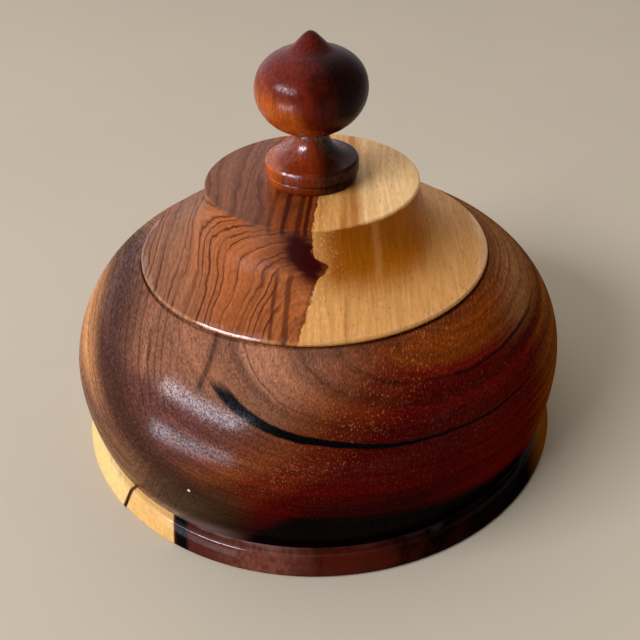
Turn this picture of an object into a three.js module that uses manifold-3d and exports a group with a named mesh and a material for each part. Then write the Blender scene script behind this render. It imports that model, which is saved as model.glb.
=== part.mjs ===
// Lidded wooden pot, turned on a lathe: a hollow bowl on a glued foot, and a lid with a glued knob.
// Millimetres, +Z up. The origin is the middle of the foot's underside, where the pot stands.

import * as THREE from 'three';
import { mergeVertices } from 'three/addons/utils/BufferGeometryUtils.js';
import Module from 'manifold-3d';

const wasm = await Module();
wasm.setup();

// Driving dimensions of the foot, the disc glued under the bowl.
const footRadius = 60;
const footEdgeRound = 0.9;
const footWallHeight = 4.4;
const footTaper = 2.4;
const ledgeWidth = 2.0;
const ledgeRise = 0.9;
const recessRadius = 44;
const recessDepth = 1.5;

// The drying crack in the foot's wall.
const crackAzimuth = -140.2;
const crackWidth = 0.7;
const crackDepth = 5;

// Driving dimensions of the bowl. Heights are above the bowl's own underside.
const seatInset = 0.2;
const creaseRound = 1.1;
const bellyRadius = 59.3;
const bellyHeight = 15.6;
const underbellyDraft = 2.6;
const shoulderReach = 29.3;
const shoulderHeight = 27.7;
const bowlWall = 6.5;
const floorThickness = 6.4;
const floorRound = 14;
const mouthRadius = 34;
const mouthRound = 0.6;

// Driving dimensions of the lid. Heights are above the underside of its rim.
const rimRadius = 40.6;
const rimHeight = 2.0;
const rimReveal = 0.4;
const seatDrop = 0.35;
const plateauRadius = 24.3;
const lidHeight = 17.8;
const plateauRound = 0.8;
const spigotDepth = 4;
const spigotRound = 0.6;
const lidPlay = 0.5;
const lidRecessRadius = 27;
const lidRecessDepth = 3.2;

// How the flank between plateau and rim is hollowed: how far it runs down steeply before the
// cove, how far it has crept outwards there, and how far the flat part reaches in from the rim.
const flankDrop = 6.6;
const flankSpread = 0.6;
const flangeReach = 13.3;
const flangeRise = 2.8;

// Driving dimensions of the knob. Heights are above the plateau.
const flangeRadius = 10.5;
const flangeBottomRadius = 9.6;
const flangeHeight = 4.5;
const grooveHeight = 1.8;
const grooveDepth = 0.4;
const neckRadius = 3.8;
const neckHeight = 10.4;
const dishHeight = 5.1;
const ballRadius = 12.2;
const ballDrop = 9.8;
const ballRise = 9.3;
const tipRise = 2.9;
const tipBaseRadius = 4.6;
const tipSlope = 1.5;
const tipRound = 0.8;
const tenonRadius = 4;
const tenonLength = 8.5;

// Clearances: the glue line of a glued joint, and the air under the resting lid.
const glueGap = 0.3;
const restGap = 0.3;

// How finely the round faces are divided.
const largeSegments = 64;
const knobSegments = 40;
const roundSteps = 3;
const bellySteps = 4;
const shoulderSteps = 9;
const insideSteps = 7;
const floorSteps = 4;
const flankSteps = 10;
const ballSteps = 7;

// A right angle, in radians.
const quarter = Math.PI / 2;

// Points of an elliptical arc about a centre, from one angle to another, both ends included.
function arc(centreR, centreZ, radiusR, radiusZ, from, to, steps) {
  const points = [];
  for (let i = 0; i <= steps; i += 1) {
    const angle = from + ((to - from) * i) / steps;
    points.push([centreR + radiusR * Math.cos(angle), centreZ + radiusZ * Math.sin(angle)]);
  }
  return points;
}

// Points of a cubic curve between two profile points, steered by two handles.
function sweep(start, handleA, handleB, end, steps) {
  const curve = new THREE.CubicBezierCurve(
    new THREE.Vector2(...start),
    new THREE.Vector2(...handleA),
    new THREE.Vector2(...handleB),
    new THREE.Vector2(...end),
  );
  return curve.getPoints(steps).map((point) => [point.x, point.y]);
}

// A solid of revolution about Z from a profile of [radius, height] points, drawn from the
// bottom of the axis round the outside to the top of the axis.
function turned(profile, segments) {
  const kept = profile.filter(([r, z], i) => {
    if (i === 0) return true;
    const [lastR, lastZ] = profile[i - 1];
    return Math.hypot(r - lastR, z - lastZ) > 1e-6;
  });
  const points = kept.map(([r, z]) => new THREE.Vector2(Math.max(r, 0), z));
  const geometry = new THREE.LatheGeometry(points, segments);
  geometry.rotateX(quarter);
  return geometry;
}

// A closed geometry as a solid that can be cut, and back again.
function toSolid(geometry) {
  const bare = geometry.clone();
  bare.deleteAttribute('normal');
  bare.deleteAttribute('uv');
  const merged = mergeVertices(bare, 1e-4);
  return new wasm.Manifold(
    new wasm.Mesh({
      numProp: 3,
      vertProperties: new Float32Array(merged.attributes.position.array),
      triVerts: new Uint32Array(merged.index.array),
    }),
  );
}

function toGeometry(solid) {
  const mesh = solid.getMesh();
  const geometry = new THREE.BufferGeometry();
  geometry.setAttribute('position', new THREE.BufferAttribute(mesh.vertProperties, 3));
  geometry.setIndex(new THREE.BufferAttribute(mesh.triVerts, 1));
  geometry.computeVertexNormals();
  return geometry;
}

function wood(color, roughness) {
  return new THREE.MeshStandardMaterial({ color, roughness, metalness: 0 });
}

// Sizes that follow from the driving ones.
const footTopRadius = footRadius - footTaper;
const creaseRadius = footTopRadius - ledgeWidth;
const footThickness = footWallHeight + ledgeRise;
const bowlBaseRadius = creaseRadius - seatInset;
const shoulderCentre = bellyRadius - shoulderReach;
const lipRadius = rimRadius + rimReveal;
const lipAngle = Math.acos((lipRadius - shoulderCentre) / shoulderReach);
const lipHeight = bellyHeight + shoulderHeight * Math.sin(lipAngle);
const seatHeight = lipHeight - seatDrop;
const seatRadius = lipRadius - seatDrop;
const spigotRadius = mouthRadius - lidPlay;
const holeRadius = tenonRadius + glueGap;
const holeDepth = tenonLength + glueGap;

const bowlBase = footThickness + glueGap;
const lidBase = bowlBase + seatHeight + restGap;
const knobBase = lidBase + lidHeight + glueGap;

// The foot: a low disc, widest at the table, with a coved ledge up to the bowl and a shallow
// turned recess under it, so that it stands on a ring.
function footGeometry() {
  const profile = [
    [0, recessDepth],
    [recessRadius - recessDepth, recessDepth],
    [recessRadius, 0],
    ...arc(
      footRadius - footEdgeRound,
      footEdgeRound,
      footEdgeRound,
      footEdgeRound,
      -quarter,
      0,
      roundSteps,
    ),
    [footTopRadius, footWallHeight],
    [creaseRadius + ledgeWidth / 2, footWallHeight + ledgeRise / 4],
    [creaseRadius, footThickness],
    [0, footThickness],
  ];
  return toGeometry(toSolid(turned(profile, largeSegments)).subtract(crackCutter()));
}

// The crack: a wedge, sharp inside the foot and open at its wall.
function crackCutter() {
  const outside = footRadius + footEdgeRound;
  const inside = footRadius - crackDepth;
  const halfWidth = (crackWidth / 2) * ((outside - inside) / crackDepth);
  const outline = new THREE.Shape([
    new THREE.Vector2(inside, 0),
    new THREE.Vector2(outside, -halfWidth),
    new THREE.Vector2(outside, halfWidth),
  ]);
  const spare = footEdgeRound;
  const wedge = new THREE.ExtrudeGeometry(outline, { depth: footThickness + 2 * spare, bevelEnabled: false });
  wedge.translate(0, 0, -spare);
  wedge.rotateZ(THREE.MathUtils.degToRad(crackAzimuth));
  return toSolid(wedge);
}

// The bowl: a squat rounded body with its belly low down, hollowed through the mouth. The
// shoulder is a quarter of an ellipse that stops at the lip, where the lid's seat begins.
function bowlGeometry() {
  const insideReach = shoulderReach - bowlWall;
  const insideHeight = shoulderHeight - bowlWall;
  const insideBelly = bellyRadius - bowlWall;
  const throatAngle = Math.acos((mouthRadius - shoulderCentre) / insideReach);
  const baseEdge = bellyRadius - underbellyDraft;
  const outside = [];
  for (let i = 0; i < bellySteps; i += 1) {
    const height = creaseRound + ((bellyHeight - creaseRound) * i) / bellySteps;
    const below = (bellyHeight - height) / bellyHeight;
    outside.push([bellyRadius - underbellyDraft * below * below, height]);
  }
  const profile = [
    [0, 0],
    [bowlBaseRadius, 0],
    [(bowlBaseRadius + baseEdge) / 2, creaseRound / 3],
    ...outside,
    ...arc(shoulderCentre, bellyHeight, shoulderReach, shoulderHeight, 0, lipAngle, shoulderSteps),
    [seatRadius, seatHeight],
    ...arc(
      mouthRadius + mouthRound,
      seatHeight - mouthRound,
      mouthRound,
      mouthRound,
      quarter,
      2 * quarter,
      roundSteps,
    ),
    ...arc(shoulderCentre, bellyHeight, insideReach, insideHeight, throatAngle, 0, insideSteps),
    ...arc(
      insideBelly - floorRound,
      bellyHeight,
      floorRound,
      bellyHeight - floorThickness,
      0,
      -quarter,
      floorSteps,
    ),
    [0, floorThickness],
  ];
  return turned(profile, largeSegments);
}

// The lid: a flat plateau, a steep flank that runs out into a thin flange with a rounded rim,
// a blind hole for the knob, and a spigot below with a shallow recess inside it.
function lidGeometry() {
  const rimRound = rimHeight / 2;
  const flankTop = [plateauRadius, lidHeight - plateauRound];
  const flankEnd = [rimRadius - rimRound / 2, rimHeight];
  const profile = [
    [0, lidRecessDepth - spigotDepth],
    [lidRecessRadius, lidRecessDepth - spigotDepth],
    [lidRecessRadius, -spigotDepth],
    [spigotRadius - spigotRound, -spigotDepth],
    [spigotRadius, spigotRound - spigotDepth],
    [spigotRadius, 0],
    [rimRadius - rimRound, 0],
    [rimRadius, rimRound],
    ...sweep(
      flankEnd,
      [flankEnd[0] - flangeReach, rimHeight + flangeRise],
      [plateauRadius + flankSpread, flankTop[1] - flankDrop],
      flankTop,
      flankSteps,
    ),
    [plateauRadius - plateauRound / 3, lidHeight - plateauRound / 3],
    [plateauRadius - plateauRound, lidHeight],
    [holeRadius, lidHeight],
    [holeRadius, lidHeight - holeDepth],
    [0, lidHeight - holeDepth],
  ];
  return turned(profile, largeSegments);
}

// The knob: a tenon, a grooved flange, a dished foot drawn up into a thin neck, and an onion
// ball that ends in a small point.
function knobGeometry() {
  const ballCentre = neckHeight + ballDrop;
  const neckAngle = -Math.acos(neckRadius / ballRadius);
  const neckTop = ballCentre + ballDrop * Math.sin(neckAngle);
  const tipAngle = Math.acos(tipBaseRadius / ballRadius);
  const tipBase = ballCentre + ballRise * Math.sin(tipAngle);
  const tip = ballCentre + ballRise + tipRise;
  const grooveHalf = grooveDepth;
  const profile = [
    [0, -tenonLength - glueGap],
    [tenonRadius, -tenonLength - glueGap],
    [tenonRadius, 0],
    [flangeBottomRadius, 0],
    [flangeRadius - grooveDepth, (grooveHeight - grooveHalf) / 2],
    [flangeRadius - grooveDepth, grooveHeight - grooveHalf],
    [flangeRadius - 2 * grooveDepth, grooveHeight],
    [flangeRadius, grooveHeight + grooveHalf],
    [flangeRadius, flangeHeight],
    ...sweep(
      [flangeRadius - grooveDepth, flangeHeight + grooveDepth],
      [neckRadius + (flangeRadius - neckRadius) / 3, dishHeight],
      [neckRadius, (dishHeight + neckTop) / 2],
      [neckRadius, neckTop],
      insideSteps,
    ),
    ...arc(0, ballCentre, ballRadius, ballDrop, neckAngle, 0, ballSteps),
    ...arc(0, ballCentre, ballRadius, ballRise, 0, tipAngle, ballSteps),
    ...sweep(
      [tipBaseRadius, tipBase],
      [tipBaseRadius - tipSlope, tipBase + tipSlope],
      [tipRound, tip],
      [0, tip],
      roundSteps,
    ),
  ];
  return turned(profile, knobSegments);
}

function piece(name, geometry, material, height) {
  const mesh = new THREE.Mesh(geometry, material);
  mesh.name = name;
  mesh.position.z = height;
  return mesh;
}

const group = new THREE.Group();
group.add(piece('foot_ring', footGeometry(), wood(0x4a2114, 0.3), 0));
group.add(piece('pot_bowl', bowlGeometry(), wood(0x5a2616, 0.22), bowlBase));
group.add(piece('lid', lidGeometry(), wood(0xa9683a, 0.45), lidBase));
group.add(piece('knob', knobGeometry(), wood(0x5c1f12, 0.12), knobBase));

export default group;
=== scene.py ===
"""A turned wooden pot with a lift-off lid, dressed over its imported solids.

The four pieces are turned on a Geometry Nodes lathe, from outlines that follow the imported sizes.
The woods are grown from ring fields in the pot's own millimetres, so the figure runs right
through each piece and meets itself on every side, inside and out.
"""

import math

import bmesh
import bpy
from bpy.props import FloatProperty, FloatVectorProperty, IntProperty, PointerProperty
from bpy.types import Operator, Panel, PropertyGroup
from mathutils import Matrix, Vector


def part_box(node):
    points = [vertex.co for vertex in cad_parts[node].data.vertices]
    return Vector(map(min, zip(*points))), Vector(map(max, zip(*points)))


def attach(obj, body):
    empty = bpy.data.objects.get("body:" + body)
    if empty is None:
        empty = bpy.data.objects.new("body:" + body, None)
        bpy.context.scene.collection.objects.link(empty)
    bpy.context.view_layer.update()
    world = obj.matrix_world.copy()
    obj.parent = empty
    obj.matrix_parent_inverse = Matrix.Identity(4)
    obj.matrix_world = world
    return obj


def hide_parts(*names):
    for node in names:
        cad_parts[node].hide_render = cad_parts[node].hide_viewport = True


bl_info = {
    "name": "Lidded Wooden Pot",
    "version": (1, 0, 0),
    "blender": (4, 5, 0),
    "location": "View3D > Sidebar > Wooden Pot",
    "description": "A turned hardwood pot with a foot, a bowl, a lid and an onion knob",
    "category": "Add Mesh",
}

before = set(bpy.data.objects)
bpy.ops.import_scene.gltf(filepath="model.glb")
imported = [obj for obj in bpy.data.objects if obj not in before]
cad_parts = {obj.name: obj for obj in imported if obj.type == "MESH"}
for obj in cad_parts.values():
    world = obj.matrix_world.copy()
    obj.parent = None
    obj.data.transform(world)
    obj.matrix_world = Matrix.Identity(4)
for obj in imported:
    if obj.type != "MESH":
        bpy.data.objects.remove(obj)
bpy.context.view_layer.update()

MM = 0.001
RIGHT_ANGLE = math.pi / 2

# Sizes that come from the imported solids, in metres.
FOOT_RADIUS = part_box("foot_ring")[1].x
FOOT_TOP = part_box("foot_ring")[1].z
BOWL_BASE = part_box("pot_bowl")[0].z
BELLY_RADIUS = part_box("pot_bowl")[1].x
LIP_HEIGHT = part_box("pot_bowl")[1].z
SPIGOT_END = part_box("lid")[0].z
RIM_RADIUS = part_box("lid")[1].x
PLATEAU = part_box("lid")[1].z
TENON_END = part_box("knob")[0].z
BALL_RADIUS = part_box("knob")[1].x
KNOB_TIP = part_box("knob")[1].z

# The solids keep clearances at their glue lines. The finished wood closes them to a hairline.
GLUE_LINE = 0.05 * MM

# How finely outlines and rounds are divided.
ROUND_STEPS = 5
CURVE_STEPS = 28
ARC_STEP = math.radians(2.4)
BELLY_STEPS = 14
MERGE_DISTANCE = 0.002 * MM
SHARP_ANGLE = math.radians(38)


def length(name, millimetres, description):
    """A size in the shape settings, given in millimetres and kept in metres."""
    return FloatProperty(
        name=name,
        description=description,
        default=millimetres * MM,
        min=0.0,
        unit="LENGTH",
        precision=5,
    )


def angle(name, degrees, description):
    """An angle in the settings, given in degrees."""
    return FloatProperty(
        name=name,
        description=description,
        default=math.radians(degrees),
        unit="ROTATION",
        subtype="ANGLE",
    )


def number(name, value, description, least=0.0):
    """A plain number in the settings."""
    return FloatProperty(name=name, description=description, default=value, min=least)


def divisions(name, value, description):
    """A whole number of divisions in the shape settings."""
    return IntProperty(name=name, description=description, default=value, min=16)


def linear(channel):
    """One channel of a screen colour, from 0 to 255, as linear light."""
    share = channel / 255
    if share <= 0.04045:
        return share / 12.92
    return ((share + 0.055) / 1.055) ** 2.4


def colour(name, screen, description):
    """A colour in the settings, given as red, green and blue from 0 to 255."""
    return FloatVectorProperty(
        name=name,
        description=description,
        default=(*map(linear, screen), 1.0),
        size=4,
        min=0.0,
        max=1.0,
        subtype="COLOR",
    )


class PotShape(PropertyGroup):
    """The turned shape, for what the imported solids' boxes don't already say."""

    foot_edge: length("Foot Edge", 0.9, "Rounding of the foot where it meets the table")
    foot_taper: length("Foot Taper", 2.4, "How far the foot's wall leans in towards its top")
    foot_arris: length("Foot Arris", 0.45, "Rounding of the foot's upper edge")
    ledge_width: length("Ledge Width", 2.0, "Width of the ledge between foot and bowl")
    ledge_rise: length("Ledge Rise", 0.9, "How far the coved ledge climbs to the bowl")
    recess_radius: length("Recess Radius", 44, "Radius of the hollow under the foot")
    recess_depth: length("Recess Depth", 1.5, "Depth of the hollow under the foot")
    crack_azimuth: angle("Crack Azimuth", -140.2, "Where the foot's drying crack lies")
    crack_width: length("Crack Width", 0.5, "Width of the crack at the foot's wall")
    crack_depth: length("Crack Depth", 5, "How deep the crack runs into the foot")
    crack_step: length("Crack Step", 0.28, "How far the wood has sunk on one side of the crack")
    crack_wander: length("Crack Wander", 0.35, "How far the crack strays to either side")
    crease_round: length("Crease Round", 1.1, "Rounding of the bowl's lower edge")
    seat_inset: length("Seat Inset", 0.2, "How far the bowl's underside keeps inside the ledge")
    belly_height: length("Belly Height", 15.6, "Height of the widest place above the bowl's base")
    underbelly_draft: length("Underbelly Draft", 2.6, "How far the bowl draws in to its base")
    shoulder_reach: length("Shoulder Reach", 29.3, "How far the shoulder's curve reaches inwards")
    shoulder_height: length("Shoulder Height", 27.7, "Full height of the shoulder's curve")
    bowl_wall: length("Bowl Wall", 6.5, "Thickness of the bowl's wall")
    bowl_floor: length("Bowl Floor", 6.4, "Thickness of the bowl's floor")
    floor_round: length("Floor Round", 14, "Inside rounding between wall and floor")
    mouth_radius: length("Mouth Radius", 34, "Radius of the bowl's mouth")
    mouth_round: length("Mouth Round", 0.6, "Rounding of the mouth's edge")
    seat_drop: length("Seat Drop", 0.35, "How far the lid's seat lies below the lip")
    rim_reveal: length("Rim Reveal", 0.4, "How far the lip stands outside the lid's rim")
    lean: length("Lean", 0.45, "How far drying has pushed the shoulder to one side")
    lean_height: length("Lean Height", 34, "Height at which the shoulder leans most")
    lean_spread: length("Lean Spread", 9, "How far up and down the lean fades out")
    rim_height: length("Rim Height", 1.4, "Thickness of the lid's rim")
    rim_bevel: length("Rim Bevel", 0.4, "Height of the bevel along the rim's upper edge")
    spigot_depth: length("Spigot Depth", 4, "How far the lid drops into the mouth")
    spigot_round: length("Spigot Round", 0.6, "Rounding of the spigot's lower edge")
    lid_play: length("Lid Play", 0.5, "Play between spigot and mouth")
    lid_recess_radius: length("Lid Recess Radius", 27, "Radius of the hollow under the lid")
    lid_recess_depth: length("Lid Recess Depth", 3.2, "Depth of the hollow under the lid")
    plateau_radius: length("Plateau Radius", 24.3, "Radius of the lid's flat top")
    plateau_round: length("Plateau Round", 0.8, "Rounding of the flat top's edge")
    flank_drop: length("Flank Drop", 6.6, "How far the flank falls steeply before its cove")
    flank_spread: length("Flank Spread", 0.6, "How far the steep flank creeps outwards")
    cove_reach: length("Cove Reach", 13.3, "How far the cove reaches in from the rim")
    cove_rise: length("Cove Rise", 3.4, "How far the cove climbs from the rim")
    flange_radius: length("Flange Radius", 10.5, "Radius of the knob's flange")
    flange_bottom: length("Flange Bottom", 9.6, "Radius of the flange where it meets the lid")
    flange_height: length("Flange Height", 4.2, "Height of the flange")
    groove_height: length("Groove Height", 1.8, "Height of the groove round the flange")
    groove_depth: length("Groove Depth", 0.4, "Depth of the groove round the flange")
    dish_height: length("Dish Height", 5.1, "Height at which the flange draws up to the neck")
    neck_radius: length("Neck Radius", 3.8, "Radius of the knob's neck")
    ball_centre: length("Ball Centre", 20.2, "Height of the ball's widest place above the lid")
    ball_drop: length("Ball Drop", 9.8, "Height of the ball's lower half")
    ball_rise: length("Ball Rise", 9.0, "Height of the ball's upper half")
    ball_fullness: number("Ball Fullness", 2.25, "How full the ball's shoulder is, 2 for an ellipse", 1.0)
    tip_base: length("Tip Base", 5.2, "Radius at which the ball draws up to its tip")
    tip_slope: length("Tip Slope", 2.1, "How gently the ball runs out into its tip")
    tip_round: length("Tip Round", 1.6, "Rounding of the tip")
    knob_lean: length("Knob Lean", 0.6, "How far the knob's tip stands out of true")
    knob_lean_spread: length("Knob Lean Spread", 22, "How far down the knob its lean fades out")
    tenon_radius: length("Tenon Radius", 4, "Radius of the knob's tenon")
    hole_radius: length("Hole Radius", 4.3, "Radius of the lid's hole for the tenon")
    hole_depth: length("Hole Depth", 8.8, "Depth of the lid's hole for the tenon")
    large_turns: divisions("Large Turns", 256, "Divisions round the foot, the bowl and the lid")
    knob_turns: divisions("Knob Turns", 192, "Divisions round the knob")


class PotWoods(PropertyGroup):
    """The colours of the woods as they look in plain light, and the colours of the painted light and
    shade laid into some of them.
    """

    tan: colour("Tan", (146, 94, 64), "Bowl, light heartwood above the ink line")
    hollow: colour("Hollow", (140, 88, 56), "Bowl, sanded wood inside")
    salmon: colour("Salmon", (188, 126, 92), "Bowl, paler wood inside the first growth line")
    mauve: colour("Mauve", (98, 54, 42), "Bowl, brown heartwood at the left")
    copper: colour("Copper", (116, 56, 25), "Bowl, where the brown warms up")
    rust: colour("Rust", (96, 28, 9), "Bowl, just before the crimson")
    crimson: colour("Crimson", (76, 3, 2), "Bowl, deep red heartwood")
    scarlet: colour("Scarlet", (104, 14, 4), "Bowl, brighter red inside the second line")
    amber: colour("Amber", (126, 54, 4), "Bowl, inside the second line")
    # Painted shadow cast by the lid's rim on the bowl.
    lid_shadow_brown: colour("Rim Brown", (78, 38, 14), "Bowl, close under the lid at the right")
    # Wood colour, brightened in part as a painted reflection at the bowl's right edge.
    ochre: colour("Ochre", (138, 76, 8), "Bowl, at the right")
    night: colour("Night", (5, 1, 1), "Almost black heartwood")
    ink: colour("Ink", (4, 3, 4), "Ink lines in the heartwood")
    umber: colour("Umber", (56, 27, 16), "Dark bands, thin lines and open pores")
    olive: colour("Olive", (66, 40, 18), "Bowl, brown heartwood low at the left")
    olive_pale: colour("Olive Pale", (116, 74, 42), "Bowl, lighter heartwood low at the left")
    straw: colour("Straw", (198, 134, 80), "Bowl, light stripes at the left")
    nick: colour("Nick", (236, 232, 214), "Bowl, a small pale nick")
    painted_glint_gold: colour("Gold", (206, 132, 60), "Specks that catch the light")
    lid_heart: colour("Lid Heart", (161, 89, 43), "Lid, heartwood on the flank")
    lid_shade: colour("Lid Shade", (144, 94, 63), "Lid, browner heartwood at the left")
    # Painted shade on the lid's flat top.
    lid_top_shade: colour("Lid Top", (129, 81, 54), "Lid, heartwood on the flat top")
    lid_warm: colour("Lid Warm", (168, 82, 24), "Lid, redder heartwood beside the border on top")
    lid_line: colour("Lid Line", (76, 30, 12), "Lid, dark growth lines")
    lid_knot: colour("Lid Knot", (50, 4, 2), "Lid, burgundy patch")
    lid_sap: colour("Lid Sap", (222, 160, 88), "Lid, golden sapwood")
    # Darker bands of the sapwood, and painted shade on its steep flank.
    lid_sap_dark_and_shade: colour("Lid Sap Dark", (158, 86, 8), "Lid, darker bands of the sapwood")
    # Painted light on the sapwood's right side.
    lid_lit_amber: colour("Lid Amber", (186, 104, 8), "Lid, amber sapwood at the right")
    lid_sap_pale: colour("Lid Sap Pale", (248, 200, 132), "Lid, pale sapwood at the right")
    foot_sap: colour("Foot Sap", (234, 198, 126), "Foot, blond sapwood")
    foot_sap_warm: colour("Foot Sap Warm", (230, 180, 106), "Foot, warmer sapwood")
    foot_heart: colour("Foot Heart", (84, 42, 32), "Foot, heartwood beside the sapwood")
    # Paler streak, and partly a painted reflection on the foot's wall.
    foot_streak_and_sheen: colour("Foot Pale", (128, 74, 56), "Foot, paler streak in the heartwood")
    # Painted reflection: the lilac-grey sheen in the corner between foot and bowl.
    painted_corner_sheen: colour("Foot Haze", (146, 122, 116), "Foot, hazy wax in the corner under the bowl")
    foot_crack: colour("Foot Crack", (60, 18, 10), "Foot, the wood beside the crack")
    foot_red: colour("Foot Red", (72, 22, 11), "Foot, heartwood at the front")
    knob_red: colour("Knob Red", (100, 24, 8), "Knob, red wood")
    # Painted light: the glow low at the knob's left.
    knob_glow: colour("Knob Orange", (176, 80, 20), "Knob, orange wood")
    # Dark streaks and pores, and painted shade at the knob's right.
    knob_dark: colour("Knob Dark", (28, 5, 2), "Knob, dark streaks")


class PotStage(PropertyGroup):
    """The camera, the light and the floor."""

    camera_distance: length("Camera Distance", 174.94, "Level distance from the pot's axis")
    camera_height: length("Camera Height", 150.21, "Height of the camera")
    camera_heading: angle("Camera Heading", 0.27, "How far the camera looks to the right")
    camera_pitch: angle("Camera Pitch", 35.66, "How far the camera looks down")
    camera_roll: angle("Camera Roll", -1.7, "How far the camera leans")
    lens: number("Lens", 47.81, "Focal length of the camera, in millimetres", 1.0)
    floor_colour: colour("Floor", (200, 188, 162), "The plain floor")
    room_bright: colour("Room Bright", (236, 230, 242), "The room at the back left")
    room_dark: colour("Room Dark", (78, 84, 78), "The room at the front right")
    room_side: colour("Room Side", (150, 144, 128), "The room at the right")
    room_strength: number("Room Strength", 1.0, "Strength of the light from the room")
    window_radiance: number("Window Radiance", 24.0, "Radiance of the window, in W/(m2 sr)")
    patch_radiance: number("Patch Radiance", 13.0, "Radiance of the low bright patch, in W/(m2 sr)")


def sign(operation, order=1):
    """A method for a sign in a formula, which adds the node that does it."""

    def combine(*values):
        return values[0].nodes.math(operation, *values[::order])

    return combine


class Value:
    """A node's result. Results and plain numbers join in formulas, and each sign adds a node."""

    def __init__(self, nodes, socket):
        self.nodes = nodes
        self.socket = socket

    __add__ = sign("ADD")
    __sub__ = sign("SUBTRACT")
    __rsub__ = sign("SUBTRACT", order=-1)
    __mul__ = sign("MULTIPLY")
    __truediv__ = sign("DIVIDE")
    __rtruediv__ = sign("DIVIDE", order=-1)
    __pow__ = sign("POWER")
    __abs__ = sign("ABSOLUTE")

    def span(self, low, high, start=0.0, end=1.0):
        """A smooth change from start at low to end at high, flat beyond both. Low may be above high."""
        node = self.nodes.add("ShaderNodeMapRange", interpolation_type="SMOOTHSTEP", clamp=True)
        return self.nodes.fill(node, self, low, high, start, end)

    def hump(self, centre, spread):
        """1 at the centre, falling off smoothly to both sides."""
        away = (self - centre) / spread
        return self.nodes.math("EXPONENT", away * away * -1.0)

    def lay(self, colour, share):
        """This colour with another laid over a share of it."""
        return self.nodes.mix(share, self, colour)


class Nodes:
    """Adds the nodes of one tree and links them, so that each tree reads as a few formulas."""

    def __init__(self, tree):
        self.tree = tree
        self.given = {}
        self.result = None

    def add(self, kind, **settings):
        node = self.tree.nodes.new(kind)
        for name, value in settings.items():
            setattr(node, name, value)
        return node

    def feed(self, socket, value):
        """Links a result or a socket to an input, or sets a plain value on it."""
        if isinstance(value, Value):
            value = value.socket
        if isinstance(value, bpy.types.NodeSocket):
            self.tree.links.new(value, socket)
        else:
            socket.default_value = value

    def feed_named(self, node, values):
        """Feeds inputs by name, written in lower case with underscores."""
        for name, value in values.items():
            self.feed(node.inputs[name.replace("_", " ").title()], value)

    def fill(self, node, *values, output=0, **named):
        """Feeds a node's first inputs in their order and others by name, and gives one result."""
        for socket, value in zip(node.inputs, values):
            self.feed(socket, value)
        self.feed_named(node, named)
        return Value(self, node.outputs[output])

    def math(self, operation, *values):
        return self.fill(self.add("ShaderNodeMath", operation=operation), *values)

    def whole(self, operation, *values):
        """Arithmetic on whole numbers."""
        return self.fill(self.add("FunctionNodeIntegerMath", operation=operation), *values)

    def vector(self, operation, *values, **named):
        return self.fill(self.add("ShaderNodeVectorMath", operation=operation), *values, **named)

    def dot(self, first, second):
        return self.vector("DOT_PRODUCT", first, second, output="Value")

    def scaled(self, vector, factor):
        return self.vector("SCALE", vector, scale=factor)

    def hypot(self, across, up):
        """The length of a step across and up."""
        return self.math("SQRT", across * across + up * up)

    def split(self, vector):
        node = self.add("ShaderNodeSeparateXYZ")
        self.feed(node.inputs[0], vector)
        return [Value(self, output) for output in node.outputs]

    def join(self, x, y, z):
        return self.fill(self.add("ShaderNodeCombineXYZ"), x, y, z)

    def mix(self, share, first, second, blend="MIX"):
        """A colour between two others, or one laid on the other."""
        node = self.add("ShaderNodeMix", data_type="RGBA", blend_type=blend, clamp_factor=True)
        self.feed(node.inputs[0], share)
        self.feed(node.inputs[6], first)
        self.feed(node.inputs[7], second)
        return Value(self, node.outputs[2])

    def between(self, share, first, second):
        """A number between two others."""
        node = self.add("ShaderNodeMix", data_type="FLOAT", clamp_factor=True)
        self.feed(node.inputs[0], share)
        self.feed(node.inputs[2], first)
        self.feed(node.inputs[3], second)
        return Value(self, node.outputs[0])

    def shade(self, tone, value, low, high, dark, light):
        """Darkens and lightens a colour by a value between low and high."""
        shade = value.span(low, high, dark, light)
        return self.mix(1.0, tone, self.join(shade, shade, shade), "MULTIPLY")

    def noise(self, vector, scale, detail=2.0, roughness=0.5, output=0):
        node = self.add("ShaderNodeTexNoise")
        return self.fill(
            node, vector=vector, scale=scale, detail=detail, roughness=roughness, output=output
        )

    def cells(self, vector, scale):
        """Distance to the nearest scattered point, and that point's own random colour."""
        node = self.add("ShaderNodeTexVoronoi")
        away = self.fill(node, vector=vector, scale=scale, output="Distance")
        return away, node.outputs["Color"]

    def use(self, group, **values):
        """Places a shader node group and gives its results by name."""
        node = self.add("ShaderNodeGroup", node_tree=group())
        self.feed_named(node, values)
        return {output.name: Value(self, output) for output in node.outputs}

    def give(self, **values):
        """Feeds the group's own results and gives its finished tree."""
        self.feed_named(self.result, values)
        return self.tree


FLOAT = "NodeSocketFloat"
VECTOR = "NodeSocketVector"
GEOMETRY = "NodeSocketGeometry"
MATERIAL = "NodeSocketMaterial"
SOCKET_TYPES = {float: FLOAT, int: "NodeSocketInt", tuple: VECTOR}
ORIGIN = (0.0, 0.0, 0.0)


def new_group(name, kind, inputs, output_type, *outputs):
    """A node group with named inputs and outputs, ready to be filled.

    Each input comes with its default, or with its socket type where it has none.
    """
    tree = bpy.data.node_groups.new(name, kind)
    for label, default in inputs.items():
        socket_type = SOCKET_TYPES.get(type(default), default)
        socket = tree.interface.new_socket(label, in_out="INPUT", socket_type=socket_type)
        if socket_type != default:
            socket.default_value = default
    for label in outputs:
        tree.interface.new_socket(label, in_out="OUTPUT", socket_type=output_type)
    nodes = Nodes(tree)
    given = nodes.add("NodeGroupInput")
    nodes.given = {socket.name: Value(nodes, socket) for socket in given.outputs if socket.name}
    nodes.result = nodes.add("NodeGroupOutput")
    return nodes


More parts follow.
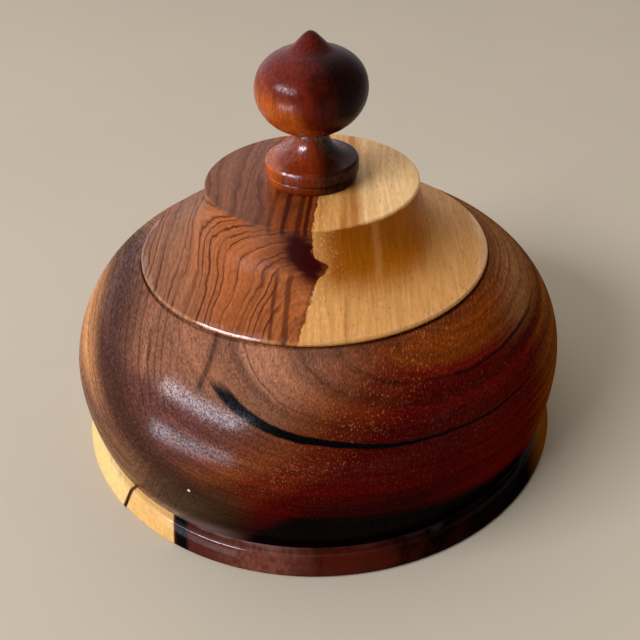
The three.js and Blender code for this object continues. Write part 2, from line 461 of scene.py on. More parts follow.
def lathe_tree():
    """Turns an outline of points about Z into a closed skin, as a lathe does.

    One narrow column beside the seam lets the wood step down there, and a lean pushes the skin
    to one side round a height, as drying does. Inputs are lengths in metres and angles in radians.
    """
    inputs = {
        "Outline": GEOMETRY,
        "Turns": 256,
        "Seam Angle": 0.0,
        "Seam Width": 0.0,
        "Step": 0.0,
        "Step Fade": 1.0,
        "Step Inside": 0.0,
        "Lean": 0.0,
        "Lean Height": 0.0,
        "Lean Spread": 1.0,
        "Merge Distance": MERGE_DISTANCE,
        "Material": MATERIAL,
    }
    nodes = new_group("Wood Lathe", "GeometryNodeTree", inputs, GEOMETRY, "Wood")
    given = nodes.given

    count = nodes.add("GeometryNodeAttributeDomainSize", component="MESH")
    rows = nodes.fill(count, given["Outline"], output="Point Count")
    columns = nodes.whole("ADD", given["Turns"], 1)
    grid = nodes.fill(nodes.add("GeometryNodeMeshGrid"), vertices_x=rows, vertices_y=columns)

    index = nodes.fill(nodes.add("GeometryNodeInputIndex"))
    column = nodes.whole("MODULO", index, columns)
    point = nodes.fill(
        nodes.add("GeometryNodeSampleIndex", data_type="FLOAT_VECTOR", domain="POINT", clamp=True),
        geometry=given["Outline"],
        value=nodes.fill(nodes.add("GeometryNodeInputPosition")),
        index=nodes.whole("DIVIDE", index, columns),
        output="Value",
    )
    radius, _, height = nodes.split(point)

    past_seam = nodes.math("MINIMUM", column, 1.0)
    wide_turn = (math.tau - given["Seam Width"]) / (given["Turns"] - 1.0)
    from_seam = past_seam * given["Seam Width"] + (column - past_seam) * wide_turn
    azimuth = from_seam + given["Seam Angle"]

    fade = nodes.math("EXPONENT", from_seam / (given["Step Fade"] * -1.0))
    outer = radius.span(given["Step Inside"], given["Step Inside"] + MM)
    before_end = nodes.math("LESS_THAN", column, columns - 1.0)
    radius = radius - fade * past_seam * outer * before_end * given["Step"]
    lean = height.hump(given["Lean Height"], given["Lean Spread"]) * given["Lean"]
    across = radius * nodes.math("COSINE", azimuth) + lean
    along = radius * nodes.math("SINE", azimuth)

    spot = nodes.join(across, along, height)
    wood = nodes.fill(nodes.add("GeometryNodeSetPosition"), geometry=grid, position=spot)
    merge = nodes.add("GeometryNodeMergeByDistance")
    wood = nodes.fill(merge, geometry=wood, distance=given["Merge Distance"])
    wood = nodes.fill(nodes.add("GeometryNodeRealizeInstances"), geometry=wood)
    paint = nodes.add("GeometryNodeSetMaterial")
    return nodes.give(wood=nodes.fill(paint, geometry=wood, material=given["Material"]))


def arc(centre, reach, start, end):
    """Points of an elliptical arc about a centre, both ends included."""
    steps = max(3, round(abs(end - start) / ARC_STEP))
    turns = [start + (end - start) * i / steps for i in range(steps + 1)]
    return [(centre[0] + reach[0] * math.cos(t), centre[1] + reach[1] * math.sin(t)) for t in turns]


def dome(centre, reach, narrow, fullness):
    """Points of a dome, from above its widest place up to where it has narrowed to a radius."""
    power = 2.0 / fullness
    last = math.acos((narrow / reach[0]) ** (1.0 / power))
    steps = max(2, round(last / ARC_STEP))
    points = []
    for step in range(1, steps + 1):
        turn = last * step / steps
        across = reach[0] * math.cos(turn) ** power
        up = reach[1] * math.sin(turn) ** power
        points.append((centre[0] + across, centre[1] + up))
    return points


def sweep(start, handle_a, handle_b, end, steps=CURVE_STEPS):
    """Points of a cubic curve between two outline points, steered by two handles."""
    points = []
    for i in range(steps + 1):
        t = i / steps
        weights = ((1 - t) ** 3, 3 * (1 - t) ** 2 * t, 3 * (1 - t) * t * t, t**3)
        corners = (start, handle_a, handle_b, end)
        points.append(tuple(sum(w * c[k] for w, c in zip(weights, corners)) for k in (0, 1)))
    return points


def rounded(before, corner, after, cut):
    """Points that round a corner off, from cut before it to cut after it."""
    start = Vector(corner) + (Vector(before) - Vector(corner)).normalized() * cut
    end = Vector(corner) + (Vector(after) - Vector(corner)).normalized() * cut
    third = 2 / 3
    handle_a = start.lerp(Vector(corner), third)
    handle_b = end.lerp(Vector(corner), third)
    return sweep(start, handle_a, handle_b, end, ROUND_STEPS)


def foot_outline(shape):
    """The foot: a low disc, widest at the table, coved at the top and hollowed underneath."""
    wall_foot = (FOOT_RADIUS, shape.foot_edge)
    wall_top = (FOOT_RADIUS - shape.foot_taper, FOOT_TOP - shape.ledge_rise)
    crease = (wall_top[0] - shape.ledge_width, FOOT_TOP)
    ledge = (wall_top[0] - shape.ledge_width / 2, wall_top[1] + shape.ledge_rise / 5)
    ceiling = (shape.recess_radius - shape.recess_depth, shape.recess_depth)
    ring = (shape.recess_radius, 0.0)
    edge = (shape.foot_edge, shape.foot_edge)
    edge_centre = (FOOT_RADIUS - shape.foot_edge, shape.foot_edge)
    return [
        (0.0, shape.recess_depth),
        *rounded((0.0, shape.recess_depth), ceiling, ring, shape.recess_depth / 2),
        *rounded(ceiling, ring, edge_centre, shape.foot_arris),
        *arc(edge_centre, edge, -RIGHT_ANGLE, 0.0),
        *rounded(wall_foot, wall_top, ledge, shape.foot_arris),
        *sweep(ledge, ledge, (crease[0], crease[1] - shape.ledge_rise / 2), crease, ROUND_STEPS),
        (0.0, FOOT_TOP),
    ]


def bowl_outline(shape):
    """The bowl: a squat round body with a low belly, hollowed through its mouth."""
    base = FOOT_TOP + GLUE_LINE
    belly = BOWL_BASE + shape.belly_height
    crease = FOOT_RADIUS - shape.foot_taper - shape.ledge_width - shape.seat_inset
    under = []
    for i in range(BELLY_STEPS):
        height = shape.crease_round + (shape.belly_height - shape.crease_round) * i / BELLY_STEPS
        below = (shape.belly_height - height) / shape.belly_height
        under.append((BELLY_RADIUS - shape.underbelly_draft * below * below, BOWL_BASE + height))
    centre = (BELLY_RADIUS - shape.shoulder_reach, belly)
    reach = (shape.shoulder_reach, shape.shoulder_height)
    inner_reach = (reach[0] - shape.bowl_wall, reach[1] - shape.bowl_wall)
    lip_angle = math.acos((RIM_RADIUS + shape.rim_reveal - centre[0]) / reach[0])
    throat_angle = math.acos((shape.mouth_radius - centre[0]) / inner_reach[0])
    shoulder = arc(centre, reach, 0.0, lip_angle)
    seat = (shoulder[-1][0] - shape.seat_drop, LIP_HEIGHT - shape.seat_drop)
    mouth_centre = (shape.mouth_radius + shape.mouth_round, seat[1] - shape.mouth_round)
    mouth = (shape.mouth_round, shape.mouth_round)
    inside = BELLY_RADIUS - shape.bowl_wall
    floor_centre = (inside - shape.floor_round, belly)
    floor_reach = (shape.floor_round, shape.belly_height - shape.bowl_floor)
    lower = (under[0][0] - shape.crease_round / 4, BOWL_BASE + shape.crease_round / 3)
    return [
        (0.0, base),
        *sweep((crease, base), (crease + shape.crease_round, base), lower, under[0], ROUND_STEPS),
        *under[1:],
        *shoulder[:-1],
        *rounded(shoulder[-2], shoulder[-1], seat, shape.seat_drop / 2),
        seat,
        *arc(mouth_centre, mouth, RIGHT_ANGLE, 2 * RIGHT_ANGLE),
        *arc(centre, inner_reach, throat_angle, 0.0),
        *arc(floor_centre, floor_reach, 0.0, -RIGHT_ANGLE),
        (0.0, BOWL_BASE + shape.bowl_floor),
    ]


def lid_outline(shape):
    """The lid: a flat top, a steep flank that runs out into a thin coved rim, and a spigot."""
    under_rim = SPIGOT_END + shape.spigot_depth
    recess = SPIGOT_END + shape.lid_recess_depth
    rim_round = shape.rim_height / 2
    spigot = shape.mouth_radius - shape.lid_play
    spigot_foot = (spigot - shape.spigot_round, SPIGOT_END)
    flank_top = (shape.plateau_radius, PLATEAU - shape.plateau_round)
    bevel_width = shape.rim_bevel * 0.75
    flank_end = (RIM_RADIUS - bevel_width, under_rim + shape.rim_height)
    bevel_foot = (RIM_RADIUS, flank_end[1] - shape.rim_bevel)
    flat_share = 0.85
    bevel_high = Vector(bevel_foot).lerp(Vector(flank_end), flat_share)
    cove = (flank_end[0] - shape.cove_reach, flank_end[1] + shape.cove_rise)
    steep = (shape.plateau_radius + shape.flank_spread, flank_top[1] - shape.flank_drop)
    rim = (RIM_RADIUS, under_rim + rim_round)
    top_edge = (shape.plateau_radius, PLATEAU)
    recess_corner = (shape.lid_recess_radius, recess)
    recess_mouth = (shape.lid_recess_radius, SPIGOT_END)
    return [
        (0.0, recess),
        *rounded((0.0, recess), recess_corner, recess_mouth, shape.spigot_round),
        *rounded(recess_corner, recess_mouth, spigot_foot, shape.spigot_round / 2),
        *rounded(recess_mouth, (spigot, SPIGOT_END), (spigot, under_rim), shape.spigot_round),
        (spigot, under_rim),
        (RIM_RADIUS - rim_round, under_rim),
        *sweep(
            (RIM_RADIUS - rim_round / 2, under_rim + rim_round / 5),
            (RIM_RADIUS - rim_round / 8, under_rim + rim_round / 2),
            rim,
            rim,
            ROUND_STEPS,
        ),
        *rounded(rim, bevel_foot, flank_end, shape.rim_bevel / 4),
        tuple(bevel_high),
        *sweep(flank_end, cove, steep, flank_top, 2 * CURVE_STEPS),
        *rounded(flank_top, top_edge, (0.0, PLATEAU), shape.plateau_round * 0.8),
        (shape.hole_radius, PLATEAU),
        (shape.hole_radius, PLATEAU - shape.hole_depth),
        (0.0, PLATEAU - shape.hole_depth),
    ]


def knob_outline(shape):
    """The knob: a grooved flange, a dished foot drawn up into a neck, and an onion ball."""
    base = PLATEAU + GLUE_LINE
    seat = TENON_END + shape.hole_depth
    centre = (0.0, seat + shape.ball_centre)
    neck_angle = -math.acos(shape.neck_radius / BALL_RADIUS)
    neck_top = (shape.neck_radius, centre[1] + shape.ball_drop * math.sin(neck_angle))
    shoulder = dome(centre, (BALL_RADIUS, shape.ball_rise), shape.tip_base, shape.ball_fullness)
    before, tip_base = shoulder[-2:]
    run = shape.tip_slope / math.dist(before, tip_base)
    waist = shape.flange_radius - shape.groove_depth
    groove = seat + shape.groove_height
    groove_low = (waist, groove - shape.groove_depth)
    groove_deep = (waist - shape.groove_depth, groove)
    groove_high = (shape.flange_radius, groove + shape.groove_depth)
    flange_top = (shape.flange_radius, seat + shape.flange_height)
    bevel_rise = shape.groove_depth * 1.8
    dish_edge = (waist, flange_top[1] + bevel_rise)
    dish_reach = (shape.flange_radius - shape.neck_radius) / 3
    dish = (shape.neck_radius + dish_reach, seat + shape.dish_height)
    neck_middle = (shape.neck_radius, (dish[1] + neck_top[1]) / 2)
    belly = (waist, (base + groove) / 2)
    tip_lean = (
        tip_base[0] + run * (tip_base[0] - before[0]),
        tip_base[1] + run * (tip_base[1] - before[1]),
    )
    return [
        (0.0, TENON_END),
        (shape.tenon_radius, TENON_END),
        (shape.tenon_radius, base),
        *sweep((shape.flange_bottom, base), (waist, base), belly, groove_low, ROUND_STEPS),
        *sweep(groove_low, groove_deep, groove_deep, groove_high, 2 * ROUND_STEPS)[1:],
        *rounded(groove_high, flange_top, dish_edge, shape.groove_depth / 2),
        *rounded(flange_top, dish_edge, dish, shape.groove_depth / 2),
        *sweep(dish_edge, dish, neck_middle, neck_top)[2:],
        *arc(centre, (BALL_RADIUS, shape.ball_drop), neck_angle, 0.0)[1:],
        *shoulder,
        *sweep(tip_base, tip_lean, (shape.tip_round, KNOB_TIP), (0.0, KNOB_TIP), 2 * ROUND_STEPS)[1:],
    ]


def turn(name, outline, turns, material, **inputs):
    """Turns an outline on the lathe and gives the finished, closed and outward-facing object."""
    blank_mesh = bpy.data.meshes.new(name + "_outline")
    points = [(radius, 0.0, height) for radius, height in outline]
    blank_mesh.from_pydata(points, [(i, i + 1) for i in range(len(points) - 1)], [])
    blank = bpy.data.objects.new(name + "_outline", blank_mesh)
    bpy.context.scene.collection.objects.link(blank)
    lathe = blank.modifiers.new("Lathe", "NODES")
    lathe.node_group = bpy.data.node_groups.get("Wood Lathe") or lathe_tree()
    values = {"turns": turns, "material": material, **inputs}
    for socket in lathe.node_group.interface.items_tree:
        key = socket.name.lower().replace(" ", "_")
        if socket.in_out == "INPUT" and key in values:
            lathe[socket.identifier] = values[key]
    mesh = finished_mesh(blank, name)
    mesh.materials.clear()
    mesh.materials.append(material)
    mesh.polygons.foreach_set("material_index", [0] * len(mesh.polygons))
    bpy.data.objects.remove(blank)
    piece = bpy.data.objects.new(name, mesh)
    bpy.context.scene.collection.objects.link(piece)
    return piece


def finished_mesh(worked, name):
    """A plain mesh of an object with its modifiers applied, closed, facing out and smooth."""
    evaluated = worked.evaluated_get(bpy.context.evaluated_depsgraph_get())
    mesh = bpy.data.meshes.new_from_object(evaluated)
    mesh.name = name
    skin = bmesh.new()
    skin.from_mesh(mesh)
    bmesh.ops.remove_doubles(skin, verts=skin.verts, dist=MERGE_DISTANCE / 2)
    bmesh.ops.recalc_face_normals(skin, faces=skin.faces)
    if skin.calc_volume(signed=True) < 0:
        bmesh.ops.reverse_faces(skin, faces=skin.faces)
    open_edges = [edge for edge in skin.edges if not edge.is_manifold]
    if open_edges:
        raise RuntimeError(f"{name} isn't closed: {len(open_edges)} open edges")
    skin.to_mesh(mesh)
    skin.free()
    mesh.shade_smooth()
    mesh.set_sharp_from_angle(angle=SHARP_ANGLE)
    return mesh


def seat_piece(piece, body, node):
    """Rides the piece on its body and puts it in its solid's place."""
    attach(piece, body)
    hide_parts(node)


def crack_cutter(shape):
    """A thin wandering wedge that opens from inside the foot to its wall, full height."""
    steps = 9
    low = -shape.foot_edge
    high = FOOT_TOP + shape.foot_edge
    inner = FOOT_RADIUS - shape.crack_depth
    outer = FOOT_RADIUS + shape.foot_edge
    spread = shape.crack_width / 2 / (FOOT_RADIUS - inner)
    cutter = bmesh.new()
    rings = []
    for i in range(steps + 1):
        rise = i / steps
        height = low + (high - low) * rise
        slow_bend = math.sin(rise * 7.0)
        quick_bend = math.sin(rise * 17.0 + 1.0) / 2
        stray = (slow_bend + quick_bend) * shape.crack_wander / 2
        half = (outer - inner) * spread
        corners = [(inner, stray * 0.4), (outer, stray - half), (outer, stray + half)]
        ring = []
        for along, across in corners:
            turned = Matrix.Rotation(shape.crack_azimuth, 4, "Z") @ Vector((along, across, height))
            ring.append(cutter.verts.new(turned))
        rings.append(ring)
    for lower, upper in zip(rings, rings[1:]):
        for i in range(3):
            j = (i + 1) % 3
            cutter.faces.new((lower[i], lower[j], upper[j], upper[i]))
    cutter.faces.new(tuple(reversed(rings[0])))
    cutter.faces.new(tuple(rings[-1]))
    bmesh.ops.recalc_face_normals(cutter, faces=cutter.faces)
    mesh = bpy.data.meshes.new("crack")
    cutter.to_mesh(mesh)
    cutter.free()
    return bpy.data.objects.new("crack", mesh)


def crack_open(piece, shape):
    """Cuts the drying crack into the foot."""
    cutter = crack_cutter(shape)
    for material in piece.data.materials:
        cutter.data.materials.append(material)
    bpy.context.scene.collection.objects.link(cutter)
    cut = piece.modifiers.new("Crack", "BOOLEAN")
    cut.operation = "DIFFERENCE"
    cut.solver = "EXACT"
    cut.object = cutter
    bpy.context.view_layer.update()
    mesh = finished_mesh(piece, piece.name)
    piece.modifiers.clear()
    piece.data = mesh
    bpy.data.objects.remove(cutter)


def shared(name):
    """For a function that makes a node group: it is made on its first use and kept by its name."""

    def keep(make):
        return lambda: bpy.data.node_groups.get(name) or make(name)

    return keep


def shader_group(name, inputs, *outputs):
    """A shader node group that puts out numbers."""
    return new_group(name, "ShaderNodeTree", inputs, FLOAT, *outputs)


@shared("Wood Place")
def wood_place(name):
    """The point on the wood in millimetres, carried a little to the side so that no line is ruled."""
    inputs = {
        "Long Sway": 2.0,
        "Short Sway": 0.5,
        "Long Size": 26.0,
        "Short Size": 5.0,
        "Fibre": (1.0, 0.3, 1.0),
        "Back Drift": ORIGIN,
    }
    nodes = new_group(name, "ShaderNodeTree", inputs, VECTOR, "Place", "Steady", "Along Fibre")
    given = nodes.given
    spot = nodes.add("ShaderNodeTexCoord").outputs["Object"]
    steady = nodes.scaled(spot, 1 / MM)
    along = nodes.vector("MULTIPLY", steady, given["Fibre"])
    at_back = nodes.split(steady)[1].span(0, 45)
    place = nodes.vector("ADD", steady, nodes.scaled(given["Back Drift"], at_back))
    for kind in ("Long", "Short"):
        scale = nodes.math("DIVIDE", 1.0, given[kind + " Size"])
        drift = nodes.noise(along, scale, 1.0, output=1)
        centred = nodes.vector("SUBTRACT", drift, (0.5, 0.5, 0.5))
        place = nodes.vector("ADD", place, nodes.scaled(centred, given[kind + " Sway"] * 2.0))
    return nodes.give(place=place, steady=steady, along_fibre=along)


@shared("Growth Oval")
def growth_oval(name):
    """Distance from the heart of a growth ring, 1 on an oval of the given reach."""
    inputs = {"Place": ORIGIN, "Centre": ORIGIN, "Reach": (1.0, 1.0, 1.0), "Squareness": 2.0}
    nodes = shader_group(name, inputs, "Growth")
    given = nodes.given
    power = given["Squareness"]
    away = nodes.vector("SUBTRACT", given["Place"], given["Centre"])
    across, _, up = nodes.split(nodes.vector("DIVIDE", away, given["Reach"]))
    return nodes.give(growth=(abs(across) ** power + abs(up) ** power) ** (1.0 / power))


@shared("Grain Bands")
def grain_bands(name):
    """Bands of uneven width and strength that follow the growth, with a drift along the fibre."""
    inputs = {"Growth": 0.0, "Along Fibre": ORIGIN, "Spacing": 0.1, "Drift": 0.1, "Seed": 0.0}
    nodes = shader_group(name, inputs, "Soft")
    given = nodes.given
    wander = nodes.noise(given["Along Fibre"], 0.12, 1.0)
    steps = wander * given["Drift"] + given["Growth"] / given["Spacing"]
    return nodes.give(soft=nodes.noise(nodes.join(steps, given["Seed"], 0.0), 1.0, 2.5, 0.55))


@shared("Growth Lines")
def growth_lines(name):
    """Thin growth lines at an uneven spacing, each with a strength of its own."""
    inputs = {"Growth": 0.0, "Along Fibre": ORIGIN, "Spacing": 0.07, "Wobble": 0.6}
    inputs |= {"Thickness": 0.3, "Share": 0.5, "Seed": 0.0}
    nodes = shader_group(name, inputs, "Line")
    given = nodes.given
    fibre = given["Along Fibre"]
    steps = given["Growth"] / given["Spacing"]
    uneven = nodes.noise(nodes.join(steps * 0.31, given["Seed"], 0.0), 1.0, 1.0)
    steps = uneven * 2.2 + steps
    steps = nodes.noise(fibre, 0.3) * given["Wobble"] + steps
    saw = abs(nodes.math("FRACT", steps) - 0.5)
    line = saw.span(given["Thickness"] * -0.5 + 0.5, 0.5)
    ring = nodes.math("ROUND", steps) * 3.7
    own = nodes.noise(nodes.join(ring, given["Seed"], 5.0), 1.0, 0.0)
    low = 0.72 - given["Share"] * 0.4
    fading = nodes.noise(fibre, 0.17, 1.0).span(0.3, 0.55, 0.35, 1.0)
    return nodes.give(line=line * own.span(low, low + 0.14) * fading)


@shared("Ink Line")
def ink_line(name):
    """A line where the growth passes one value: a crisp core inside a softer stain."""
    inputs = {"Growth": 0.0, "At": 1.0, "Half Width": 0.02, "Stain Width": 0.08}
    nodes = shader_group(name, inputs, "Core", "Stain")
    given = nodes.given
    away = abs(given["Growth"] - given["At"])
    core = away.span(given["Half Width"] * 0.6, given["Half Width"], 1.0, 0.0)
    return nodes.give(core=core, stain=away.span(0.0, given["Stain Width"], 1.0, 0.0))


@shared("Pores And Flecks")
def pores_and_flecks(name):
    """Open pores drawn out along the fibre, a fine mottle, and the specks of it that shine."""
    inputs = {"Steady": ORIGIN, "Fibre": (1.0, 0.2, 1.0), "Size": 0.62, "Share": 0.5}
    nodes = shader_group(name, inputs, "Pore", "Fleck", "Mottle")
    given = nodes.given
    share = given["Share"]
    stretched = nodes.vector("MULTIPLY", given["Steady"], given["Fibre"])
    scale = 1.0 / given["Size"]
    away, tone = nodes.cells(stretched, scale)
    own = nodes.split(tone)[0]
    pore = away.span(0.15, 0.36, 1.0, 0.0) * own.span(share, share + 0.05, 1.0, 0.0)
    mottle = nodes.noise(stretched, scale * 1.2, 2.0, 0.65)
    return nodes.give(pore=pore, fleck=mottle.span(0.58, 0.7), mottle=mottle)


@shared("Edge Wear")
def edge_wear(name):
    """How near the wood is to a turned edge, where the finish is rubbed thin."""
    inputs = {"Steady": ORIGIN, "Edge Radius": 1.0, "Edge Height": 0.0, "Reach": 1.0}
    nodes = shader_group(name, inputs, "Wear")
    given = nodes.given
    x, y, z = nodes.split(given["Steady"])
    away = nodes.hypot(nodes.hypot(x, y) - given["Edge Radius"], z - given["Edge Height"])
    rubbed = nodes.noise(given["Steady"], 0.5, 3.0, 0.65)
    return nodes.give(wear=away.span(0.0, given["Reach"], 1.0, 0.0) * rubbed.span(0.35, 0.65))


@shared("Lacquer")
def lacquer_coat(name):
    """How the lacquer lies: a gentle unevenness, grain that prints through and pores that stay dull."""
    inputs = {
        "Steady": ORIGIN,
        "Pore": 0.0,
        "Mottle": 0.5,
        "Gloss Low": 0.12,
        "Gloss High": 0.22,
        "Coat Share": 0.3,
        "Dimples": 0.2,
        "Ripple": 0.4,
        "Print": 0.5,
    }
    nodes = shader_group(name, inputs, "Roughness", "Coat", "Height")
    given = nodes.given
    steady, pore, mottle = given["Steady"], given["Pore"], given["Mottle"]
    cloud = nodes.noise(steady, 0.12, 3.0, 0.6)
    gloss = nodes.between(cloud.span(0.35, 0.7), given["Gloss Low"], given["Gloss High"])
    dull = pore * -0.6 + cloud.span(0.35, 0.7, 1.0, 0.8)
    uneven = mottle.span(0.4, 0.64, -1.0, 1.0) * given["Dimples"] + 1.0
    raised = nodes.noise(steady, 0.35) * given["Ripple"]
    return nodes.give(
        roughness=pore * 0.12 + gloss,
        coat=dull * uneven * given["Coat Share"],
        height=(mottle - pore * 0.5) * given["Print"] + raised,
    )


def new_material(name):
    """A new material with an empty tree to fill."""
    material = bpy.data.materials.new(name)
    material.use_nodes = True
    material.node_tree.nodes.clear()
    return material


class Wood(Nodes):
    """The nodes of one wood's material, from the wood's place in the tree to its lacquer."""

    def __init__(self, name, **place):
        self.material = new_material(name)
        super().__init__(self.material.node_tree)
        found = self.use(wood_place, **place)
        self.spot = found["Place"]
        self.steady = found["Steady"]
        self.fibre = found["Along Fibre"]

    def oval(self, **values):
        return self.use(growth_oval, place=self.spot, **values)["Growth"]

    def bands(self, growth, **values):
        return self.use(grain_bands, growth=growth, along_fibre=self.fibre, **values)["Soft"]

    def lines(self, growth, **values):
        return self.use(growth_lines, growth=growth, along_fibre=self.fibre, **values)["Line"]

    def pores(self, **values):
        return self.use(pores_and_flecks, steady=self.steady, **values)

    def finish(self, tone, pores, relief, specular, coat_roughness, **lacquering):
        """Lacquers the wood, and joins its colour, gloss and relief in its shader."""
        skin = {"steady": self.steady, "pore": pores["Pore"], "mottle": pores["Mottle"]}
        lacquer = self.use(lacquer_coat, **skin, **lacquering)
        bump = self.add("ShaderNodeBump")
        shader = self.add("ShaderNodeBsdfPrincipled")
        shader.inputs["Specular IOR Level"].default_value = specular
        surface = self.fill(
            shader,
            base_color=tone,
            roughness=lacquer["Roughness"],
            coat_weight=lacquer["Coat"],
            coat_roughness=coat_roughness,
            normal=self.fill(bump, strength=1.0, distance=relief, height=lacquer["Height"]),
        )
        self.feed(self.add("ShaderNodeOutputMaterial").inputs["Surface"], surface)
        return self.material


def hollow_share(nodes, shape):
    """1 on the skin of the bowl's hollow and 0 outside, by an oval that runs inside the wall."""
    x, y, z = nodes.split(nodes.steady)
    centre = (BELLY_RADIUS - shape.shoulder_reach) / MM
    belly = (BOWL_BASE + shape.belly_height) / MM
    outward = (nodes.hypot(x, y) - centre) / (shape.shoulder_reach / MM)
    upward = (z - belly) / (shape.shoulder_height / MM)
    skin = nodes.hypot(nodes.math("MAXIMUM", outward, 0.0), nodes.math("MAXIMUM", upward, 0.0))
    return skin.span(0.9, 0.86)


def bowl_wood(woods, shape):
    """The bowl: streaked heartwood with an inky growth line, from tan at the left to crimson."""
    nodes = Wood("bowl_wood", long_sway=0.9, short_sway=0.3, back_drift=(13, 0, -5))
    x, y, z = nodes.split(nodes.spot)

    # Two growth fields: 1 on the ink line, and 1 on the dark band down the left side.
    growth = nodes.oval(centre=(45, 0, 52.8), reach=(70.5, 1, 20.4), squareness=2.6)
    shell = nodes.oval(centre=(15, 0, 42), reach=(59, 1, 25.9), squareness=2.5)
    figure = nodes.between(x.span(-42, -30), shell, growth)

    broad = nodes.bands(figure, spacing=0.1, drift=0.9, seed=3)
    fine = nodes.bands(figure, spacing=0.028, drift=1.1, seed=7)
    line = nodes.lines(figure, spacing=0.09, thickness=0.2, seed=4)
    thread = nodes.lines(shell, spacing=0.03, thickness=0.45, share=1.0, seed=9)
    pores = nodes.pores(size=0.5)
    cloud = nodes.noise(nodes.fibre, 0.09, 3.0, 0.6)

    # From tan at the upper left through copper and rust to crimson at the front and right.
    past_red = x - (z * 1.6 - 50.5) + (cloud * 8.0 - 4.0) + (fine * 14.0 - 7.0)
    tone = nodes.mix(z.span(42, 37) * growth.span(0.97, 1.05), woods.tan, woods.mauve)
    tone = tone.lay(woods.straw, shell.span(1.06, 1.17) * z.span(47, 40) * z.span(24, 34, 0.1, 1.0))
    inside = growth.span(0.93, 0.89) * growth.span(0.7, 0.8) * x.span(-6, -14) * 0.7
    tone = tone.lay(woods.salmon, inside)
    tone = tone.lay(woods.copper, past_red.span(-28, -10))
    tone = tone.lay(woods.rust, past_red.span(-13, -4))
    tone = tone.lay(woods.crimson, past_red.span(-2, 7))
    tone = tone.lay(woods.scarlet, growth.span(0.66, 0.6) * x.span(10, 24))
    low_left = z.span(27, 20)
    tone = tone.lay(woods.olive_pale, low_left * x.span(-34, -42))
    tone = tone.lay(woods.olive, low_left * x.span(-44, -32) * x.span(-12, -22))
    flame = broad * 0.16 + (growth - 0.08)
    tone = tone.lay(woods.amber, flame.span(0.58, 0.5) * x.span(2, 12))
    # Painted shadow: darker brown just under the lid's rim at the right.
    tone = tone.lay(woods.lid_shadow_brown, z.span(45.2, 47.5) * x.span(-10, 4) * 0.6)
    # Painted light: the red brightened at the right, where the lamps leave the wood dim.
    tone = tone.lay(woods.scarlet, x.span(24, 40) * z.span(42, 34) * 0.6)
    slant = (0.8 - growth) * y.span(0, 30, 0, 11)
    # Ochre wood at the right edge, brightened in part as a painted reflection. The pale shoulder near the
    # lid at the right is a painted highlight.
    side_edge = fine * 9.0 + (broad * 6.0 + x) + slant
    tone = tone.lay(woods.ochre, side_edge.span(52, 64) * 0.9)
    shoulder = side_edge.span(42, 54) * z.span(38, 43) * 0.8
    tone = tone.lay(woods.olive_pale, shoulder)
    tone = tone.lay(woods.straw, shoulder * x.span(38, 47) * 0.5)

    # Grain of three widths.
    tone = nodes.shade(tone, broad, 0.32, 0.68, 0.7, 1.2)
    tone = nodes.shade(tone, fine, 0.3, 0.7, 0.76, 1.18)
    tone = nodes.shade(tone, pores["Mottle"], 0.3, 0.7, 0.74, 1.24)
    tone = tone.lay(woods.umber, line * 0.6)
    tone = tone.lay(woods.umber, thread * x.span(-24, -36) * 0.7)

    # The dark band down the left side, and the black wood low at the front.
    band = nodes.use(ink_line, growth=shell, at=1.01, half_width=0.04, stain_width=0.14)["Stain"]
    tone = tone.lay(woods.umber, band * x.span(-12, -30) * z.span(50, 45, 0.3, 0.9))
    streaked = x.span(-32, -38) * x.span(-54, -48) * z.span(39, 43) * 0.4
    tone = tone.lay(woods.umber, streaked * fine.span(0.65, 0.4))
    tone = tone.lay(woods.night, z.span(25, 19) * x.span(-12, 2) * x.span(30, 16) * 0.65)
    dark_end = (fine * 8.0 + z).span(25, 16) * x.span(-32, -16) * x.span(10, 0) * 0.6
    tone = tone.lay(woods.night, dark_end)
    low = broad * 5.0 + (fine * 7.0 + (x * 0.11 + z)) + x.span(-3, -26, 0, 20)
    tone = tone.lay(woods.night, low.span(26.5, 22.5) * x.span(50, 44))

    # Pores: dark in the light wood. Painted glints: small golden specks where the pores catch the light,
    # thickest before the crimson starts.
    tone = tone.lay(woods.umber, pores["Pore"] * 0.25)
    golden = past_red.span(-16, -6) * past_red.span(12, 0) * z.span(22, 30)
    tone = tone.lay(woods.painted_glint_gold, pores["Fleck"] * (golden * 0.3 + 0.07) * z.span(16, 26))

    # A pale nick low at the front.
    from_nick = nodes.vector("SUBTRACT", nodes.steady, (-27.5, -52.5, 20.2))
    tone = tone.lay(woods.nick, nodes.dot(from_nick, from_nick).span(0.2, 0.04, 0.0, 0.85))

    # The ink line: thin where it comes down from the mouth, thick at its bend, then ever thinner.
    strength = z.span(43.0, 41.0) * x.span(50, 38)
    taper = nodes.between(x.span(-18, -4), 0.034, x.span(-4, 34, 0.03, 0.012))
    taper = taper * x.span(-27, -19, 0.25, 1.0)
    leaning = z * -0.6 + x + 48.4
    coming = nodes.use(ink_line, growth=leaning, at=0, half_width=0.6, stain_width=1.8)
    coming = coming["Core"] * 0.3 + coming["Stain"] * 0.35
    tone = tone.lay(woods.night, coming * z.span(39.5, 41))
    first = nodes.use(ink_line, growth=growth, at=1.0, half_width=taper, stain_width=0.085)
    tone = tone.lay(woods.night, first["Stain"] * strength * 0.35)
    tone = tone.lay(woods.ink, first["Core"] * strength)
    arch = nodes.use(ink_line, growth=growth, at=0.9, half_width=0.008, stain_width=0.03)["Stain"]
    tone = tone.lay(woods.umber, arch * x.span(-4, -12) * 0.5)
    second = nodes.use(ink_line, growth=growth, at=0.62, half_width=0.014, stain_width=0.045)
    soft = x.span(6, 20, 0.2, 0.7) * x.span(52, 44)
    tone = tone.lay(woods.night, second["Stain"] * soft * 0.45)
    tone = tone.lay(woods.ink, second["Core"] * soft * cloud.span(0.35, 0.5))

    # Painted reflection: a lilac-grey sheen laid into the colour in the corner over the foot.
    tone = tone.lay(woods.painted_corner_sheen, z.span(11.5, 8) * x.span(-42, -34) * x.span(-14, -26) * 0.4)

